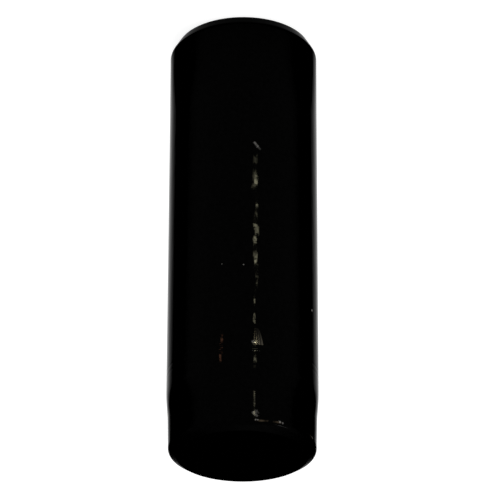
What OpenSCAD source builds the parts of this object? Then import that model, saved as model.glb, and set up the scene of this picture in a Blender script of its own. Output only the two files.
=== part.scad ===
// Pivot pin: a short round pin turned from one bar and ground on its working surface.
// It stands on its plain end. The top end has the lead-in that starts the pin into its bore.
// Origin: centre of the bottom face. +Z runs along the pin's axis, towards the lead-in.

/* [Working surface] */
// Diameter of the ground working surface
pin_d = 12.7; // [8:0.1:40]
// Length over both end faces
pin_l = 38.5; // [20:0.1:160]

/* [Lead-in at the top end] */
// Width of the top chamfer, across the end face
top_chamfer_w = 0.7; // [0.2:0.02:1.6]
// Height of the top chamfer, along the pin
top_chamfer_h = 0.44; // [0.2:0.02:1.6]
// Length of the tapered land under the top chamfer
land_l = 3; // [1:0.1:8]
// Angle of the land to the pin's axis, in degrees
land_taper = 1.2; // [0.5:0.1:5]
// Length of the run-out slope that joins the land to the working surface
runout_l = 1.8; // [0.5:0.05:4]
// How far the foot of the run-out slope lies inside the working surface, on the radius
runout_step = 0.14; // [0.04:0.01:0.3]

/* [Bottom end] */
// Width of the bottom chamfer, across the end face
bottom_chamfer_w = 0.66; // [0.2:0.01:1.6]
// Height of the bottom chamfer, along the pin
bottom_chamfer_h = 1.1; // [0.2:0.01:2]

/* [Broken edges] */
// Radius of the rubbed edge between the land and the top chamfer
rim_r = 0.5; // [0.1:0.05:3]
// Radius of the blends at both ends of the run-out slope
runout_r = 12; // [2:0.5:30]
// Radius of the edge between the bottom chamfer and the working surface
heel_r = 0.6; // [0.1:0.05:3]
// Radius of the broken edge around each end face
face_edge_r = 0.25; // [0.05:0.01:1]

/* [Smoothness] */
// Facets around the pin in a preview
facets = 180; // [48:12:360]
// Steps along each rounded edge of the section
arc_steps = 8; // [3:1:16]

/* [Hidden] */

// Share of the shorter edge beside a corner that its rounding may take up
edge_share = 0.45;

pin_r = pin_d / 2;
land_r = pin_r - runout_step;
rim_face_r = land_r - land_l * tan(land_taper);
rim_z = pin_l - top_chamfer_h;
land_z = rim_z - land_l;
shoulder_z = land_z - runout_l;

// The section's corners as [radius, height], from the bottom face up to the top face
bottom_centre = [0, 0];
bottom_edge = [pin_r - bottom_chamfer_w, 0];
heel = [pin_r, bottom_chamfer_h];
shoulder = [pin_r, shoulder_z];
runout_foot = [land_r, land_z];
rim = [rim_face_r, rim_z];
top_edge = [rim_face_r - top_chamfer_w, pin_l];
top_centre = [0, pin_l];

// Unit vector from one point towards another
function toward(from, to) = (to - from) / norm(to - from);

// Points of the arc that rounds a corner, from the edge before it to the edge after it.
// The radius is kept small enough for the arc to end on the edges beside the corner.
function rounded(before, corner, after, radius) =
    let (
        turn = acos(toward(before, corner) * toward(corner, after)),
        shorter_edge = min(norm(corner - before), norm(after - corner)),
        arc_r = min(radius, edge_share * shorter_edge / tan(turn / 2)),
        inward = toward([0, 0], toward(corner, before) + toward(corner, after)),
        centre = corner + inward * arc_r / cos(turn / 2),
        reach = arc_r * tan(turn / 2),
        first_spoke = corner + reach * toward(corner, before) - centre,
        last_spoke = corner + reach * toward(corner, after) - centre
    )
    [
        for (step = [0:arc_steps])
            let (angle = turn * step / arc_steps)
            centre + (sin(turn - angle) * first_spoke + sin(angle) * last_spoke) / sin(turn)
    ];

// Half section of the pin: bottom chamfer, working surface, run-out slope, tapered land
// and top chamfer, with every corner rounded but the two on the axis
module half_section() {
    polygon(concat(
        [bottom_centre],
        rounded(bottom_centre, bottom_edge, heel, face_edge_r),
        rounded(bottom_edge, heel, shoulder, heel_r),
        rounded(heel, shoulder, runout_foot, runout_r),
        rounded(shoulder, runout_foot, rim, runout_r),
        rounded(runout_foot, rim, top_edge, rim_r),
        rounded(rim, top_edge, top_centre, face_edge_r),
        [top_centre]
    ));
}

module pivot_pin() {
    color("#121215")
    rotate_extrude($fn = facets)
        half_section();
}

pivot_pin();
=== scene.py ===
# %% [markdown]
# # A black pivot pin
# A pivot pin is a short round bar that a lever or a link turns on. It is turned on a lathe,
# ground and polished on the stretch that works in the bush, and blackened in a hot salt bath.
# Everything that the eye sees on it comes from those three steps: one clean outline, a surface
# as smooth as a mirror, and a black so deep that only a lamp or a low angle shows in it. This
# lesson builds the outline first, then the finish, then a plain studio that shows both.

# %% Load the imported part
import bpy
import math
from mathutils import Matrix, Vector


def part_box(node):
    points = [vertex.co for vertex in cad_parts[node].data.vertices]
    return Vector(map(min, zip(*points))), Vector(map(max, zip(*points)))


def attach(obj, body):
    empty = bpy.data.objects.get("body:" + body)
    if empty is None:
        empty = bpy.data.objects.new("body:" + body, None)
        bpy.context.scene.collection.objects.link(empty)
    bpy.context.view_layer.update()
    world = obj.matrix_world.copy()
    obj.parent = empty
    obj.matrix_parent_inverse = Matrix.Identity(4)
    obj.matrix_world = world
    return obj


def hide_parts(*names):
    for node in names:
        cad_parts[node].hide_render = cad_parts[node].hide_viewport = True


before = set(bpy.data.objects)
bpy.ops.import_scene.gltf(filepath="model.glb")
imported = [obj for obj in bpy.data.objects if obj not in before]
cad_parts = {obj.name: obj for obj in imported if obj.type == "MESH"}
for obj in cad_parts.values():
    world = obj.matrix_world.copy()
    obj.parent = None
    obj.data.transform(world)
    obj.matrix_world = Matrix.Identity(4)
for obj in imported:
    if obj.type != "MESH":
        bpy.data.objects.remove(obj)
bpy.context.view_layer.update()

MM = 0.001
NODE = "pivot_pin"
low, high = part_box(NODE)
PIN_R = (high.x - low.x) / 2
PIN_L = high.z - low.z
print(f"pin: {2 * PIN_R / MM:.2f} mm across, {PIN_L / MM:.2f} mm long")


# %% [markdown]
# ## The camera
# The pin is seen from above its lead-in end, about 26 degrees over the horizon and 0.3 m
# away, with a long lens. The picture is turned upside down, so that the end that is nearest
# to the camera is at the bottom. A camera is easiest to place with its three axes: right, up
# and back. Turning right and up by a small angle gives the slight lean of the pin.

# %% Where the camera stands, in radians and metres
VIEW_ELEVATION = math.radians(26.14)
VIEW_DISTANCE = 46.45 * PIN_R
VIEW_LEAN = 0.0032
NEAREST_SEEN = 0.01

# %% The picture: the pin's middle and its radius in pixels of the photograph's frame
FRAME_PIXELS = 500
PIN_CENTRE_PX = (242.94, 247.1)
PIN_R_PX = 74.82
SENSOR_MM = 36.0

# %% Camera
pin_centre = Vector((0, 0, PIN_L / 2))
view_back = Vector((0, -math.cos(VIEW_ELEVATION), math.sin(VIEW_ELEVATION)))
view_right = Vector((-1, 0, 0))
view_up = view_back.cross(view_right)


def lean(right, up, angle):
    """Turns the picture's two axes by an angle, about the line of sight."""
    c, s = math.cos(angle), math.sin(angle)
    return c * right + s * up, c * up - s * right


def axes_matrix(right, up, back, place):
    """World matrix of a camera or lamp with these axes at this place."""
    turn = Matrix((right, up, back)).transposed().to_4x4()
    return Matrix.Translation(place) @ turn


def add_camera():
    """Makes the camera, with the shift that puts the pin where the photograph has it."""
    data = bpy.data.cameras.new("camera")
    data.sensor_width = SENSOR_MM
    data.lens = PIN_R_PX / FRAME_PIXELS * SENSOR_MM * VIEW_DISTANCE / PIN_R
    data.shift_x = 0.5 - PIN_CENTRE_PX[0] / FRAME_PIXELS
    data.shift_y = PIN_CENTRE_PX[1] / FRAME_PIXELS - 0.5
    data.clip_start = NEAREST_SEEN
    camera = bpy.data.objects.new("camera", data)
    right, up = lean(view_right, view_up, VIEW_LEAN)
    camera.matrix_world = axes_matrix(right, up, view_back, pin_centre + VIEW_DISTANCE * view_back)
    bpy.context.scene.collection.objects.link(camera)
    bpy.context.scene.camera = camera
    return camera


camera = add_camera()
print(f"camera: {camera.data.lens:.0f} mm lens, {VIEW_DISTANCE:.3f} m from the pin's centre")


# %% [markdown]
# ## The outline
# A turned part is one half section, spun about its axis. The section is a handful of
# corners, each with a small radius, because a tool, a stone or years of handling break every
# edge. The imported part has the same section, but its mesh is made for checking and shows
# flats. So the lesson draws the section again with more points and spins it finely.

# %% The section's sizes, in millimetres
TOP_CHAMFER = (0.7, 0.44)
LAND_L = 3.0
LAND_TAPER = math.radians(1.2)
RUNOUT_L = 1.8
RUNOUT_STEP = 0.14
BOTTOM_CHAMFER = (0.66, 1.1)
RIM_R = 0.5
RUNOUT_R = 12.0
HEEL_R = 0.6
FACE_EDGE_R = 0.25
EDGE_SHARE = 0.45

# %% Its corners as radius and height, from the foot's centre to the lead-in end's centre
pin_r = PIN_R / MM
pin_l = PIN_L / MM
land_r = pin_r - RUNOUT_STEP
rim_face_r = land_r - LAND_L * math.tan(LAND_TAPER)
rim_z = pin_l - TOP_CHAMFER[1]
land_z = rim_z - LAND_L

CORNERS = [Vector(corner) for corner in (
    (0, 0),
    (pin_r - BOTTOM_CHAMFER[0], 0),
    (pin_r, BOTTOM_CHAMFER[1]),
    (pin_r, land_z - RUNOUT_L),
    (land_r, land_z),
    (rim_face_r, rim_z),
    (rim_face_r - TOP_CHAMFER[0], pin_l),
    (0, pin_l))]
RADII = (FACE_EDGE_R, HEEL_R, RUNOUT_R, RUNOUT_R, RIM_R, FACE_EDGE_R)

# %% Rounded corners
ARC_STEPS = 10


def rounded(before, corner, after, radius):
    """Points of the arc that rounds a corner, kept on the edges beside it."""
    back, on = (before - corner).normalized(), (after - corner).normalized()
    turn = math.pi - back.angle(on)
    shorter = min((before - corner).length, (after - corner).length)
    radius = min(radius, EDGE_SHARE * shorter / math.tan(turn / 2))
    centre = corner + (back + on).normalized() * radius / math.cos(turn / 2)
    reach = radius * math.tan(turn / 2)
    first, last = corner + reach * back - centre, corner + reach * on - centre
    steps = [turn * i / ARC_STEPS for i in range(ARC_STEPS + 1)]
    return [centre + (math.sin(turn - a) * first + math.sin(a) * last) / math.sin(turn)
            for a in steps]


outline = CORNERS[:1]
for before, corner, after, radius in zip(CORNERS, CORNERS[1:], CORNERS[2:], RADII):
    outline += rounded(before, corner, after, radius)
outline += CORNERS[-1:]
print(f"outline: {len(outline)} points")


# %% [markdown]
# Long straight edges of the section get points in between, so that the rings can carry fine
# relief. The grinding wheel leaves two shallow rings where it is drawn back, just below the
# lead-in. They are a few thousandths of a millimetre deep: enough to cut a streak of light.

# %% Finer section, with the wheel's two rings
RING_STEP = 0.3
FINE_STEP = 0.05
FINE_FROM, FINE_TO = 6.4, 7.7
WHEEL_RINGS = ((6.77, 0.004, 0.09), (7.30, 0.006, 0.09))


def below_top(z):
    """How far a height is below the lead-in end's face, in millimetres."""
    return pin_l - z


def wheel_ring_depth(z):
    """How deep the wheel's rings cut at a height, in millimetres."""
    return sum(depth * math.exp(-((below_top(z) - below) / width) ** 2)
               for below, depth, width in WHEEL_RINGS)


def finer(points):
    """The same outline with a point at least at each step, and finer steps at the wheel's rings."""
    stops = [i * RING_STEP for i in range(int(pin_l / RING_STEP) + 1)]
    fine_steps = round((FINE_TO - FINE_FROM) / FINE_STEP)
    stops += [FINE_FROM + i * FINE_STEP for i in range(fine_steps + 1)]
    heights = sorted(pin_l - s for s in stops)
    made = [points[0]]
    for start, end in zip(points, points[1:]):
        if abs(start.x - end.x) > abs(start.y - end.y):
            pieces = max(1, math.ceil((end - start).length / RING_STEP))
            made += [start.lerp(end, (i + 1) / pieces) for i in range(pieces)]
        else:
            inner = [h for h in heights if start.y + FINE_STEP / 2 < h < end.y - FINE_STEP / 2]
            made += [start.lerp(end, (h - start.y) / (end.y - start.y)) for h in inner] + [end]
    return made


section = finer(outline)
print(f"section: {len(section)} points")

# %% Section as a line of edges, with the rings cut into the wall but not into the end faces
section_mesh = bpy.data.meshes.new("section")
section_mesh.from_pydata(
    [((p.x - wheel_ring_depth(p.y) * (p.x > land_r)) * MM, 0, p.y * MM) for p in section],
    [(i, i + 1) for i in range(len(section) - 1)], [])
section_line = bpy.data.objects.new("section", section_mesh)
bpy.context.scene.collection.objects.link(section_line)


# %% [markdown]
# ## Spinning the section
# Geometry Nodes do the lathe's work: a grid has one column of points for each step round the
# pin, and one row for each point of the section. Each grid point takes its place from the
# section and is turned about the axis by its column's angle. Merging closes the seam and the
# two poles. With the number of steps as an input, the same tree gives a coarse or a fine pin.

# %% Helpers for node trees
def node(tree, kind, inputs=(), **settings):
    """Adds a node, sets its properties, sets or links its inputs, and gives its outputs.

    The inputs are a list in the node's own order, or a dictionary by name.
    """
    made = tree.nodes.new(kind)
    for name, value in settings.items():
        setattr(made, name, value)
    for key, value in inputs.items() if isinstance(inputs, dict) else enumerate(inputs):
        if isinstance(value, bpy.types.NodeSocket):
            tree.links.new(value, made.inputs[key])
        else:
            made.inputs[key].default_value = value
    return made.outputs


def set_input(modifier, tree, name, value):
    """Sets a modifier's input by the identifier of the socket that has this name."""
    for item in tree.interface.items_tree:
        if item.item_type == "SOCKET" and item.in_out == "INPUT" and item.name == name:
            modifier[item.identifier] = value


# %% The lathe tree
def lathe_tree():
    """Spins the modified object's line of edges about Z."""
    tree = bpy.data.node_groups.new("lathe", "GeometryNodeTree")
    face = tree.interface
    for name, kind in (("Section", "Geometry"), ("Steps round", "Int"),
                       ("Weld distance", "Float"), ("Finish", "Material")):
        face.new_socket(name, in_out="INPUT", socket_type=f"NodeSocket{kind}")
    face.new_socket("Pin", in_out="OUTPUT", socket_type="NodeSocketGeometry")
    given = node(tree, "NodeGroupInput")
    size = node(tree, "GeometryNodeAttributeDomainSize", {"Geometry": given["Section"]})
    rows = size["Point Count"]
    columns = node(tree, "ShaderNodeMath", [given["Steps round"], 1.0], operation="ADD")[0]
    grid = node(tree, "GeometryNodeMeshGrid", {"Vertices X": columns, "Vertices Y": rows})["Mesh"]
    index = node(tree, "GeometryNodeInputIndex")[0]
    row = node(tree, "FunctionNodeIntegerMath", [index, rows], operation="MODULO")[0]
    column = node(tree, "FunctionNodeIntegerMath", [index, rows], operation="DIVIDE_FLOOR")[0]
    turn = node(tree, "ShaderNodeMath", [column, given["Steps round"]], operation="DIVIDE")[0]
    angle = node(tree, "ShaderNodeMath", [turn, math.tau], operation="MULTIPLY")[0]
    spot = node(tree, "GeometryNodeInputPosition")[0]
    taken = node(tree, "GeometryNodeSampleIndex", {
        "Geometry": given["Section"], "Value": spot, "Index": row},
        data_type="FLOAT_VECTOR", domain="POINT")[0]
    turned = node(tree, "ShaderNodeVectorRotate", {"Vector": taken, "Angle": angle},
                  rotation_type="Z_AXIS")[0]
    spun = node(tree, "GeometryNodeSetPosition", {"Geometry": grid, "Position": turned})[0]
    welded = node(tree, "GeometryNodeMergeByDistance", {
        "Geometry": spun, "Distance": given["Weld distance"]})[0]
    smooth = node(tree, "GeometryNodeSetShadeSmooth", {"Geometry": welded})[0]
    real = node(tree, "GeometryNodeRealizeInstances", {"Geometry": smooth})[0]
    done = node(tree, "GeometryNodeSetMaterial", {"Geometry": real, "Material": given["Finish"]})[0]
    node(tree, "NodeGroupOutput", {"Pin": done})
    return tree


# %% [markdown]
# ## The finish
# The pin is black-oxide steel. Before the hot salt bath the steel is ground and polished, and
# the oxide is far thinner than a hair, so the surface stays as smooth as a mirror. It is
# nearly black from straight on, and pale only at a grazing angle, where any smooth surface
# mirrors what is behind it. So a lamp shows as a thin line, and the line shows every flaw.

# %% Colours, from sRGB hex to linear light
def linear(hex_colour):
    """An sRGB hex colour as linear red, green, blue and alpha."""
    parts = [int(hex_colour[i:i + 2], 16) / 255 for i in (1, 3, 5)]
    return [p / 12.92 if p <= 0.04045 else ((p + 0.055) / 1.055) ** 2.4 for p in parts] + [1.0]


OXIDE_THIN = "#030303"
OXIDE_THICK = "#020202"
# Bare, scuffed and rubbed steel: their marks lie mostly on the streak and the rim, as painted
# highlights.
BARE_STEEL_GLINTS = "#8c8a86"
SCUFF_GLINT_STEEL = "#393630"
RUBBED_HIGHLIGHT_STEEL = "#453c30"


# %% [markdown]
# The finish is not the same all over. The oxide grows in small uneven grains, polishing leaves
# the surface a little wavy, the two ends are only turned, and a few marks go through the black.
# Most of these marks are bright steel laid where the streak of light and the rim's highlight
# run: painted highlights.
# So the finish needs to know where it is: how far below the lead-in end, how far from the axis,
# and how far round the pin from the side that faces the camera.

# %% Places on the pin
def places(tree):
    """The object's coordinates, mm below the top, mm from the axis, and degrees round the pin."""
    place = node(tree, "ShaderNodeTexCoord")["Object"]
    x, y, z = node(tree, "ShaderNodeSeparateXYZ", [place])
    height = node(tree, "ShaderNodeMath", [z, MM], operation="DIVIDE")[0]
    below = node(tree, "ShaderNodeMath", [pin_l, height], operation="SUBTRACT")[0]
    across = node(tree, "ShaderNodeMath", [x, -1.0], operation="MULTIPLY")[0]
    nearer = node(tree, "ShaderNodeMath", [y, -1.0], operation="MULTIPLY")[0]
    turn = node(tree, "ShaderNodeMath", [across, nearer], operation="ARCTAN2")[0]
    angle = node(tree, "ShaderNodeMath", [turn], operation="DEGREES")[0]
    flat = node(tree, "ShaderNodeCombineXYZ", [x, y])[0]
    out = node(tree, "ShaderNodeVectorMath", [flat], operation="LENGTH")["Value"]
    from_axis = node(tree, "ShaderNodeMath", [out, MM], operation="DIVIDE")[0]
    return place, below, from_axis, angle


# %% Noise: mm round the pin, mm along it, detail, and a shift that gives each its own pattern
WAVE = (1.0, 2.4, 1.0, 5.2)
RIPPLE = (0.40, 1.4, 1.0, 9.4)
OXIDE_GRAIN = (0.3, 0.3, 3.0, 7.7)
HAND_POLISH = (3.5, 2.5, 2.0, 12.3)
RUB_PATCH = (0.7, 0.7, 2.0, 21.4)
MARK_GRAIN = (0.12, 0.12, 2.0, 31.7)


def uneven(tree, place, pattern):
    """Noise with the sizes of one of these patterns."""
    round_mm, along_mm, detail, shift = pattern
    per_round, per_along = 1 / (round_mm * MM), 1 / (along_mm * MM)
    moved = node(tree, "ShaderNodeMapping", {
        "Vector": place, "Location": (shift, shift, shift),
        "Scale": (per_round, per_round, per_along)})[0]
    return node(tree, "ShaderNodeTexNoise", {
        "Vector": moved, "Scale": 1.0, "Detail": detail})["Fac"]


# %% A band between two limits
def between(tree, value, start, end, soft):
    """1 where a value is between two limits, with soft edges."""
    after = node(tree, "ShaderNodeMapRange", [value, start - soft, start + soft])[0]
    before = node(tree, "ShaderNodeMapRange", [value, end + soft, end - soft])[0]
    return node(tree, "ShaderNodeMath", [after, before], operation="MULTIPLY")[0]


# %% [markdown]
# The largest mark is a bright fan of steel on the streak's line that stops at the wheel's ring:
# a scuff and a painted highlight, for a bright piece of the streak that no lamp makes. It starts
# narrow and faint, widens towards the lead-in and ends at a sharp edge. It is a few fine lines
# side by side, clearer on its right.

# %% The fan's outline: mm below the top, and degrees round the pin at its narrow and wide ends
FAN_TOP, FAN_FOOT = 8.8, 7.33
FAN_TOP_LEFT, FAN_TOP_RIGHT = 8.9, 9.8
FAN_FOOT_LEFT, FAN_FOOT_RIGHT = 7.4, 15.4
FAN_BULGE = 0.38
FAN_SOFT = 0.03

# %% The fan's lines: how many, how faint between them, and how bare from narrow to wide end
FAN_LINES = 3.5
LINE_TROUGH, LINE_FAINTEST = -0.8, 0.35
FAN_GROWTH = 1.8
FAN_FAINT, FAN_BARE = 0.05, 0.42
LEFT_SHARE, RIGHT_SHARE = 0.9, 2.7


# The fan's bright steel is a painted highlight on the streak's line, as well as a scuff.
def fan_scuff_glint(tree, below, angle):
    """How bare, and so how bright, the steel is in the fan: a scuff and a painted highlight."""
    down = node(tree, "ShaderNodeMapRange", [below, FAN_TOP, FAN_FOOT])[0]
    bulge = node(tree, "ShaderNodeMath", [down, FAN_BULGE], operation="POWER")[0]
    left = node(tree, "ShaderNodeMapRange", [down, 0.0, 1.0, FAN_TOP_LEFT, FAN_FOOT_LEFT])[0]
    right = node(tree, "ShaderNodeMapRange", [bulge, 0.0, 1.0, FAN_TOP_RIGHT, FAN_FOOT_RIGHT])[0]
    over = node(tree, "ShaderNodeMapRange", {
        "Value": angle, "From Min": left, "From Max": right}, clamp=False)[0]
    inside = between(tree, over, 0.0, 1.0, FAN_SOFT)
    above_foot = between(tree, below, FAN_FOOT, FAN_TOP, FAN_SOFT)
    wave = node(tree, "ShaderNodeMath", [over, math.tau * FAN_LINES], operation="MULTIPLY")[0]
    wave = node(tree, "ShaderNodeMath", [wave], operation="SINE")[0]
    lines = node(tree, "ShaderNodeMapRange", [wave, LINE_TROUGH, 1.0, LINE_FAINTEST, 1.0])[0]
    share = node(tree, "ShaderNodeMapRange", [over, 0.0, 1.0, LEFT_SHARE, RIGHT_SHARE])[0]
    grown = node(tree, "ShaderNodeMath", [down, FAN_GROWTH], operation="POWER")[0]
    bare = node(tree, "ShaderNodeMapRange", [grown, 0.0, 1.0, FAN_FAINT, FAN_BARE])[0]
    for part in (inside, above_foot, lines, share):
        bare = node(tree, "ShaderNodeMath", [bare, part], operation="MULTIPLY")[0]
    return bare


# %% [markdown]
# The other marks are tiny. A nick is one ragged dot of bare steel, and a line is a row of dots
# that run together. Most of them lie on the streak of light and on the rim, where they stand for
# its brightest spots: they are painted highlights in bright steel. Each is placed on the wall by
# its angle and its depth below the top, so it stays where it is from any side.

# %% Nicks and glints: degrees round the pin, mm below the top, radius in mm, and how bare
SPECKS = ((0.5, 14.53, 0.08, 0.35), (-15.8, 14.69, 0.06, 0.35), (65.3, 12.09, 0.13, 1.0))
# The fan's, the land's and the rim's dots are painted highlights: bright spots of the streak and
# the rim.
FAN_GLINTS = ((7.2, 7.56, 0.14, 0.20), (8.8, 7.54, 0.15, 0.20), (10.6, 7.55, 0.12, 0.05))
LAND_GLINTS = ((8.5, 1.33, 0.21, 0.19), (10.4, 1.42, 0.23, 0.10),
              (9.7, 1.20, 0.20, 0.14), (11.1, 1.08, 0.17, 0.14))
RIM_GLINTS = ((29.7, 0.84, 0.13, 0.45), (32.0, 0.78, 0.11, 0.25))

# %% Lines of glints: where each starts and ends, its dots' radius, and how bare each dot is
GLINT_LINES = (
    ((8.7, 25.95), (12.7, 25.42), 0.15, (0.24, 0.26, 0.20, 0.27, 0.10, 0.06)),
    ((7.4, 6.77), (12.6, 6.77), 0.06, (0.05, 0.08, 0.06, 0.04)),
    ((9.0, 3.15), (9.2, 1.95), 0.11, (0.03, 0.04, 0.03, 0.02, 0.02, 0.02, 0.02, 0.03, 0.02)),
    ((9.9, 0.72), (11.7, 0.72), 0.10, (0.30, 0.30)),
    ((62.4, 0.82), (69.2, 0.76), 0.17, (0.10, 0.16, 0.26, 0.40)))


def glint_line_dots():
    """Every line of glints as a row of small marks."""
    dots = []
    for start, end, radius, bareness in GLINT_LINES:
        for i, bare in enumerate(bareness):
            turn, below = Vector(start).lerp(Vector(end), i / (len(bareness) - 1))
            dots.append((turn, below, radius, bare))
    return dots


MARKS_AND_GLINTS = [*SPECKS, *FAN_GLINTS, *LAND_GLINTS, *RIM_GLINTS, *glint_line_dots()]
print("marks:", len(MARKS_AND_GLINTS))

# %% The marks' ragged edges: the noise's range, and the stretch that it gives a dot's distance
GRAIN_RANGE = (0.3, 0.7)
RAGGED_STRETCH = (0.7, 1.6)
MARK_CORE = 1 / 3


def wall_r(below):
    """The wall's radius in mm, so many mm below the top."""
    on_land = TOP_CHAMFER[1] < below < TOP_CHAMFER[1] + LAND_L
    return rim_face_r + (below - TOP_CHAMFER[1]) * math.tan(LAND_TAPER) if on_land else pin_r


def marks_and_glints(tree, place):
    """How bare the steel is at each nick and glint; most of it is painted highlight."""
    ragged = uneven(tree, place, MARK_GRAIN)
    ragged = node(tree, "ShaderNodeMapRange", [ragged, *GRAIN_RANGE, *RAGGED_STRETCH])[0]
    bare = 0.0
    for round_pin, below, radius, bareness in MARKS_AND_GLINTS:
        a, out = math.radians(round_pin), wall_r(below)
        spot = Vector((-math.sin(a) * out, -math.cos(a) * out, pin_l - below)) * MM
        away = node(tree, "ShaderNodeVectorMath", [place, spot], operation="DISTANCE")["Value"]
        away = node(tree, "ShaderNodeMath", [away, ragged], operation="MULTIPLY")[0]
        here = node(tree, "ShaderNodeMapRange", [
            away, radius * MM, MARK_CORE * radius * MM, 0.0, bareness])[0]
        bare = node(tree, "ShaderNodeMath", [bare, here], operation="MAXIMUM")[0]
    return bare


# %% The rubbed stretch of the rim, which is a painted highlight: degrees round the pin, mm below the top, and mm per degree
# Paler steel along the rim here is a painted highlight of the rim.
RUB_FROM, RUB_TO, RUB_SOFT = 9.0, 33.0, 1.5
RUB_HIGH, RUB_LOW, RUB_EDGE = 0.52, 0.66, 0.04
RUB_RISE = 0.006
RUB_RANGE = (0.42, 0.58)
RUB_HIGHLIGHT_STRENGTH = 0.55


def rim_rub_highlight(tree, place, below, angle):
    """How much paler the steel is along the rim of the lead-in chamfer: a painted highlight laid on
    as thinned oxide.
    """
    round_pin = between(tree, angle, RUB_FROM, RUB_TO, RUB_SOFT)
    level = node(tree, "ShaderNodeMath", [angle, -RUB_RISE, below], operation="MULTIPLY_ADD")[0]
    down = between(tree, level, RUB_HIGH, RUB_LOW, RUB_EDGE)
    patches = uneven(tree, place, RUB_PATCH)
    patchy = node(tree, "ShaderNodeMapRange", [patches, *RUB_RANGE, 0.0, RUB_HIGHLIGHT_STRENGTH])[0]
    mask = node(tree, "ShaderNodeMath", [round_pin, down], operation="MULTIPLY")[0]
    return node(tree, "ShaderNodeMath", [mask, patchy], operation="MULTIPLY")[0]


# %% [markdown]
# The lead-in's face and chamfer and the foot's face are as the lathe left them, and the land is
# a little duller than the polished stretch, which runs down to the foot. Metal turns pale at
# a low angle, where it mirrors what is behind it, and a dark oxide turns less pale than bare
# steel. The shader's Specular Tint sets how much less. Each zone has its own, matched to how
# bright the pin's outline is there. Just above the foot the tint is lowered as painted shade,
# for the pin's own shadow on the floor that the wall mirrors there. On the foot's chamfer it is
# raised as a painted reflection, for the pale floor that the chamfer mirrors beside the foot.

# %% Zones: the mm below the top where each starts to fade in, and where it is full
END_ZONE = (0.60, 0.40)
FACE_ZONE = (pin_l - 0.12, pin_l - 0.04)
LAND_ZONE = (5.2, 4.0)
# Just above the foot and on its chamfer the zones carry painted shade and a painted reflection.
HEEL_SHADE_ZONE = (pin_l - 7.5, pin_l - 3.5)
FOOT_REFLECTION_ZONE = (pin_l - 1.2, pin_l - 0.7)


def zones(tree, below):
    """1 on what is only turned, on the land, just above the foot (painted shade), and on the foot's
    chamfer (painted reflection).
    """
    end, face, land, heel_shade, foot = [
        node(tree, "ShaderNodeMapRange", [below, *zone])[0]
        for zone in (END_ZONE, FACE_ZONE, LAND_ZONE, HEEL_SHADE_ZONE, FOOT_REFLECTION_ZONE)]
    turned = node(tree, "ShaderNodeMath", [end, face], operation="MAXIMUM")[0]
    return turned, land, heel_shade, foot


# %% Relief: its full height, each pattern's share of it, and the tool lines' spacing in mm
RELIEF = 0.010 * MM
WAVE_SHARE, RIPPLE_SHARE, GRAIN_SHARE = 0.8, 0.6, 0.08
POLISHED_LINE_SHARE, TURNED_LINE_SHARE = 0.01, 0.15
TOOL_LINE = 0.25


def relief(tree, place, below, from_axis, oxide, turned):
    """Height of the surface: the polish's slow waves, the oxide's grain and the tool's lines.

    Real tool lines are about 0.05 mm apart. Here they are 0.25 mm apart, as fine as still shows.
    """
    spot = node(tree, "ShaderNodeCombineXYZ", [from_axis, 0.0, below])[0]
    lines = node(tree, "ShaderNodeTexNoise", {
        "Vector": spot, "Scale": 1 / TOOL_LINE, "Detail": 1.0})["Fac"]
    line_share = node(tree, "ShaderNodeMapRange", [
        turned, 0.0, 1.0, POLISHED_LINE_SHARE, TURNED_LINE_SHARE])[0]
    height = node(tree, "ShaderNodeMath", [lines, line_share], operation="MULTIPLY")[0]
    for pattern, share in ((uneven(tree, place, WAVE), WAVE_SHARE),
                           (uneven(tree, place, RIPPLE), RIPPLE_SHARE), (oxide, GRAIN_SHARE)):
        height = node(tree, "ShaderNodeMath", [pattern, share, height], operation="MULTIPLY_ADD")[0]
    return height


# %% Black-oxide polished steel: roughness, and how pale each zone turns at a low angle, with painted shade above the foot and a painted reflection on its chamfer
SMOOTHEST, ROUGHEST = 0.02, 0.05
LAND_ROUGHNESS, END_ROUGHNESS, FAN_ROUGHNESS = 0.09, 0.30, 0.35
# The edge tint just above the foot is painted shade, and on the foot's chamfer a painted
# reflection.
POLISHED_EDGE, LAND_EDGE, END_EDGE, HEEL_SHADE_EDGE, FOOT_REFLECTION_EDGE = 0.465, 0.33, 0.25, 0.39, 0.57
NOISE_RANGE = (0.35, 0.65)


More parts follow.
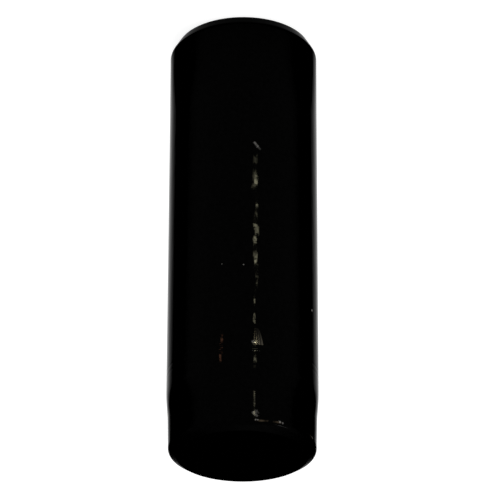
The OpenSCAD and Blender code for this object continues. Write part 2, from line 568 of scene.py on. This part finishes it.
def black_oxide_polished_steel():
    """Hot-salt black oxide over polished steel: near black, with a clear, slightly wavy shine, and
    painted highlights in bright steel.
    """
    material = bpy.data.materials.new("black_oxide_polished_steel")
    material.use_nodes = True
    tree = material.node_tree
    tree.nodes.clear()
    place, below, from_axis, angle = places(tree)
    oxide = uneven(tree, place, OXIDE_GRAIN)
    scuff_glint = fan_scuff_glint(tree, below, angle)
    turned, land, heel_shade, foot = zones(tree, below)

    grain = node(tree, "ShaderNodeMapRange", [oxide, *NOISE_RANGE])[0]
    colour = linear(OXIDE_THICK)
    # The scuff, the rubbed rim and the marks are mostly painted highlights in bright steel.
    for mask, hex_colour in ((grain, OXIDE_THIN), (scuff_glint, SCUFF_GLINT_STEEL),
                             (rim_rub_highlight(tree, place, below, angle), RUBBED_HIGHLIGHT_STEEL),
                             (marks_and_glints(tree, place), BARE_STEEL_GLINTS)):
        colour = node(tree, "ShaderNodeMix", {
            "Factor": mask, "A": colour, "B": linear(hex_colour)}, data_type="RGBA")["Result"]

    patches = uneven(tree, place, HAND_POLISH)
    rough = node(tree, "ShaderNodeMapRange", [patches, *NOISE_RANGE, SMOOTHEST, ROUGHEST])[0]
    for mask, value in ((land, LAND_ROUGHNESS), (turned, END_ROUGHNESS),
                        (scuff_glint, FAN_ROUGHNESS)):
        rough = node(tree, "ShaderNodeMix", {"Factor": mask, "A": rough, "B": value})["Result"]

    # Lower tint just above the foot is painted shade, higher tint on the foot's chamfer a painted
    # reflection.
    edge = POLISHED_EDGE
    for mask, value in ((land, LAND_EDGE), (turned, END_EDGE),
                        (heel_shade, HEEL_SHADE_EDGE), (foot, FOOT_REFLECTION_EDGE)):
        edge = node(tree, "ShaderNodeMix", {"Factor": mask, "A": edge, "B": value})["Result"]

    height = relief(tree, place, below, from_axis, oxide, turned)
    bump = node(tree, "ShaderNodeBump", {"Strength": 1.0, "Distance": RELIEF, "Height": height})[0]
    steel = node(tree, "ShaderNodeBsdfPrincipled", {
        "Base Color": colour, "Metallic": 1.0, "Roughness": rough,
        "Specular Tint": edge, "Normal": bump})[0]
    node(tree, "ShaderNodeOutputMaterial", {"Surface": steel})
    return material


finish = black_oxide_polished_steel()
print("finish:", finish.name, "with", len(finish.node_tree.nodes), "nodes")


# %% Spin the pin
STEPS_ROUND = 256
WELD_DISTANCE = 0.001 * MM


def spin(section_object, name, material):
    """Runs the lathe tree on the section and keeps the result as a plain mesh."""
    tree = lathe_tree()
    modifier = section_object.modifiers.new("lathe", "NODES")
    modifier.node_group = tree
    set_input(modifier, tree, "Steps round", STEPS_ROUND)
    set_input(modifier, tree, "Weld distance", WELD_DISTANCE)
    set_input(modifier, tree, "Finish", material)
    graph = bpy.context.evaluated_depsgraph_get()
    evaluated = section_object.evaluated_get(graph)
    mesh = bpy.data.meshes.new_from_object(
        evaluated, preserve_all_data_layers=True, depsgraph=graph)
    section_object.modifiers.remove(modifier)
    bpy.data.objects.remove(section_object)
    mesh.materials.clear()
    mesh.materials.append(material)
    mesh.name = name
    piece = bpy.data.objects.new(name, mesh)
    bpy.context.scene.collection.objects.link(piece)
    return piece


pin = spin(section_line, "blackened_pin", finish)
triangles = sum(len(p.vertices) - 2 for p in pin.data.polygons)
middle = min(pin.data.polygons, key=lambda p: (p.center - Vector((PIN_R, 0, PIN_L / 2))).length)
print(f"pin: {triangles} triangles, faces point {'out' if middle.normal.x > 0 else 'in'}")

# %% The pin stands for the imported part
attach(pin, "root")
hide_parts(NODE)


# %% [markdown]
# ## The studio
# The floor is plain and white. A white floor that is really lit to full white would put a lot
# of light on the pin, so most of its white is given only to the rays that are seen, directly
# or in a reflection. The rest is lit by the lamps and keeps the pin's soft shadow.
# A polished pin also mirrors the floor close round its foot, where its own shadow is. There the
# reflections get little of the extra white, and they get all of it 8 mm away from the wall.

# %% Floor
FLOOR_SIDE = 4.0
FLOOR_DROP = 0.02 * MM
FLOOR_GREY = "#9a9a9a"
FLOOR_GLOW = 0.85

# %% Its shade round the foot, in reflections: distance from the axis where it is full and gone
SHADE_FROM, SHADE_TO = PIN_R - 0.9 * MM, PIN_R + 8 * MM
SHADE_CURVE = 0.45


def seen_rays(tree):
    """1 for rays that are seen directly, in a reflection or through glass, and 0 for the rest."""
    path = node(tree, "ShaderNodeLightPath")
    seen = path["Is Camera Ray"]
    for ray in ("Is Glossy Ray", "Is Transmission Ray"):
        seen = node(tree, "ShaderNodeMath", [seen, path[ray]], operation="MAXIMUM")[0]
    return seen


def white_floor_paint():
    """Matt white studio floor that glows a little to what is seen."""
    material = bpy.data.materials.new("white_floor_paint")
    material.use_nodes = True
    tree = material.node_tree
    tree.nodes.clear()
    place = node(tree, "ShaderNodeTexCoord")["Object"]
    away = node(tree, "ShaderNodeVectorMath", [place], operation="LENGTH")["Value"]
    open_floor = node(tree, "ShaderNodeMapRange", [away, SHADE_FROM, SHADE_TO])[0]
    open_floor = node(tree, "ShaderNodeMath", [open_floor, SHADE_CURVE], operation="POWER")[0]
    direct = node(tree, "ShaderNodeLightPath")["Is Camera Ray"]
    open_floor = node(tree, "ShaderNodeMath", [open_floor, direct], operation="MAXIMUM")[0]
    glow = node(tree, "ShaderNodeMath", [seen_rays(tree), open_floor], operation="MULTIPLY")[0]
    glow = node(tree, "ShaderNodeMath", [glow, FLOOR_GLOW], operation="MULTIPLY")[0]
    glow = node(tree, "ShaderNodeEmission", {"Strength": glow})[0]
    matt = node(tree, "ShaderNodeBsdfDiffuse", {"Color": linear(FLOOR_GREY)})[0]
    both = node(tree, "ShaderNodeAddShader", [matt, glow])[0]
    node(tree, "ShaderNodeOutputMaterial", {"Surface": both})
    return material


def add_floor():
    """A wide flat floor that the pin stands on, a hair below its foot so that the two never mix."""
    half = FLOOR_SIDE / 2
    corners = ((-half, -half), (half, -half), (half, half), (-half, half))
    mesh = bpy.data.meshes.new("floor")
    mesh.from_pydata([(x, y, -FLOOR_DROP) for x, y in corners], [], [(0, 1, 2, 3)])
    mesh.materials.append(white_floor_paint())
    floor = bpy.data.objects.new("floor", mesh)
    bpy.context.scene.collection.objects.link(floor)


add_floor()
print(f"floor: {FLOOR_SIDE:.0f} m wide, {FLOOR_DROP / MM:.2f} mm under the foot")

# %% Sky
SKY_LIGHT = 0.8


def add_sky():
    """White where it is seen, and a soft even light on everything else."""
    world = bpy.data.worlds.new("studio")
    bpy.context.scene.world = world
    world.use_nodes = True
    tree = world.node_tree
    tree.nodes.clear()
    strength = node(tree, "ShaderNodeMapRange", {
        "Value": seen_rays(tree), "To Min": SKY_LIGHT, "To Max": 1.0})[0]
    background = node(tree, "ShaderNodeBackground", {
        "Color": (1, 1, 1, 1), "Strength": strength})[0]
    node(tree, "ShaderNodeOutputWorld", {"Surface": background})


add_sky()

# %% Lamps
def add_lamp(name, size, power, right, up, back, place):
    """A rectangular lamp with these axes that the camera doesn't see. It shines along -back."""
    data = bpy.data.lights.new(name, "AREA")
    data.shape = "RECTANGLE"
    data.size, data.size_y = size
    data.energy = power
    lamp = bpy.data.objects.new(name, data)
    lamp.matrix_world = axes_matrix(right, up, back, place)
    lamp.visible_camera = False
    bpy.context.scene.collection.objects.link(lamp)
    return data


def outward(azimuth, elevation=0.0):
    """Direction from the pin at an azimuth (0 is the camera's, positive to the picture's right)."""
    a, e = math.radians(azimuth), math.radians(elevation)
    return Vector((-math.sin(a) * math.cos(e), -math.cos(a) * math.cos(e), math.sin(e)))


# %% Soft lamps: azimuth and elevation in degrees, distance and size in metres, and watts
UP = Vector((0, 0, 1))
SOFT_LAMPS = (
    ("rim_lamp", 62, 20, 0.40, (0.09, 0.03), 0.5),
    ("top_softbox", 120, 62, 0.60, (0.7, 0.7), 1.6))

for name, azimuth, elevation, distance, size, power in SOFT_LAMPS:
    out = outward(azimuth, elevation)
    side = UP.cross(out).normalized()
    add_lamp(name, size, power, side, out.cross(side), out, pin_centre + distance * out)


# %% [markdown]
# ## The streak
# The wall is upright and the camera looks down at it, so the wall mirrors the floor in front
# of the pin. A streak of light on the wall is therefore a row of small lamps just over the
# floor. The law of mirrors says where: a point of the wall that faces half of an azimuth
# mirrors what lies at the whole azimuth, and the higher the point, the further out the lamp.
# There are gaps between the lamps, because the streak has gaps. Each lamp has a honeycomb
# grid, as studio lamps do, so it shines only on the spot that mirrors it to the camera, and
# the streak fades softly to its sides.

# %% Where a lamp must be to be mirrored
LAMP_HEIGHT = 1 * MM
camera_out = VIEW_DISTANCE * math.cos(VIEW_ELEVATION) - PIN_R
camera_high = pin_centre.z + VIEW_DISTANCE * math.sin(VIEW_ELEVATION)


def camera_sight(z):
    """How steeply the camera looks down at a height of the wall."""
    return math.atan2(camera_high - z, camera_out)


def mirrored_at(below, sight):
    """How far out from the wall's foot the lamp is that shows at so many mm below the top."""
    z = (pin_l - below) * MM
    tilt = LAND_TAPER if below < LAND_L else 0.0
    return (z - LAMP_HEIGHT) / math.tan(sight(z) - 2 * tilt)


# %% A lamp for one piece of the streak, with the whole angle of its grid
GRID = math.radians(9)


def add_streak_lamp(name, piece, hex_colour, viewer=0.0, sight=camera_sight, grid=GRID):
    """A small lamp that the wall mirrors to a viewer's azimuth, between two depths below the top.

    Its radiance, the light from a square metre of it in one direction, sets how bright its
    mirror image is. A grid of half angle h sends the same power into a narrower cone.
    """
    low_end, high_end, wall_azimuth, radiance, width = piece
    near, far = mirrored_at(low_end, sight), mirrored_at(high_end, sight)
    foot, way = PIN_R * outward(wall_azimuth), outward(2 * wall_azimuth - viewer)
    centre = foot + (near + far) / 2 * way + LAMP_HEIGHT * UP
    wall_spot = foot + (pin_l - (low_end + high_end) / 2) * MM * UP
    back = (centre - wall_spot).normalized()
    right = UP.cross(back).normalized()
    size = (width * MM, (far - near) * -back.z)
    half = grid / 2
    power = radiance * math.pi * size[0] * size[1] * (1 - half / math.tan(half))
    data = add_lamp(name, size, power, right, back.cross(right), back, centre)
    data.spread = grid
    data.color = linear(hex_colour)[:3]


# %% [markdown]
# Each piece has five values: the mm below the top where it starts and ends, the degrees round
# the pin, its radiance, and its lamp's width in mm. The front pieces make the pale streak. The
# side pieces make the short reddish one to its left.

# %% The pieces
WARM_WHITE, WARM_ORANGE = "#f8f3cc", "#ffb48c"
FRONT_PIECES = (
    (24.65, 24.1, 9.3, 33, 4.0), (23.1, 22.75, 8.7, 68, 3.5), (22.7, 22.25, 9.8, 280, 3.0),
    (22.05, 21.8, 8.0, 102, 3.5), (20.2, 19.9, 10.5, 162, 3.0), (19.25, 18.95, 10.1, 60, 3.5),
    (18.45, 17.95, 9.4, 144, 5.0), (17.95, 17.4, 10.7, 128, 5.0), (17.1, 16.65, 9.2, 178, 4.5),
    (15.9, 15.55, 8.8, 78, 4.5), (15.4, 14.7, 10.0, 235, 4.5), (13.15, 13.0, 10.6, 136, 3.0),
    (11.5, 11.2, 8.9, 170, 3.0), (9.85, 9.35, 8.9, 85, 4.0), (6.35, 5.75, 9.3, 125, 8.0),
    (3.3, 2.1, 9.0, 15, 3.0))
SIDE_PIECES = (
    (8.15, 7.6, -15.8, 52, 4.0), (6.95, 6.8, -15.4, 20, 3.0), (6.35, 5.8, -17.0, 62, 4.0))
STREAKS = (("front", WARM_WHITE, FRONT_PIECES), ("side", WARM_ORANGE, SIDE_PIECES))

for label, colour, pieces in STREAKS:
    for index, piece in enumerate(pieces):
        add_streak_lamp(f"{label}_streak_{index}", piece, colour)
print("streak lamps:", len(FRONT_PIECES) + len(SIDE_PIECES))


# %% [markdown]
# Seen from behind, the pin would be plain black. A second streak of the same kind is there for
# someone who stands behind it. Its lamps are hidden from the camera by the pin. Their grids are
# as wide as the pin looks from each lamp, so that the wall's two edges don't mirror them.

# %% The streak behind, as seen from an azimuth of 180 and 20 degrees over the horizon
BACK_AZIMUTH = 180.0
BACK_VIEW = math.radians(20)
BACK_PIECES = (
    (29.0, 26.6, 181.0, 40, 4.0), (26.2, 22.4, 179.5, 55, 4.5), (21.8, 17.2, 180.5, 55, 5.0),
    (16.9, 14.6, 179.2, 60, 5.0), (13.8, 10.6, 180.3, 70, 5.0))


def back_sight(z):
    """The same slope at every height, as for a viewer far away."""
    return BACK_VIEW


for index, piece in enumerate(BACK_PIECES):
    away = mirrored_at((piece[0] + piece[1]) / 2, back_sight)
    pin_looks = 2 * math.atan(PIN_R / (PIN_R + away))
    add_streak_lamp(f"back_streak_{index}", piece, WARM_WHITE, BACK_AZIMUTH, back_sight, pin_looks)

# %% Look
scene = bpy.context.scene
scene.view_settings.view_transform = "Standard"
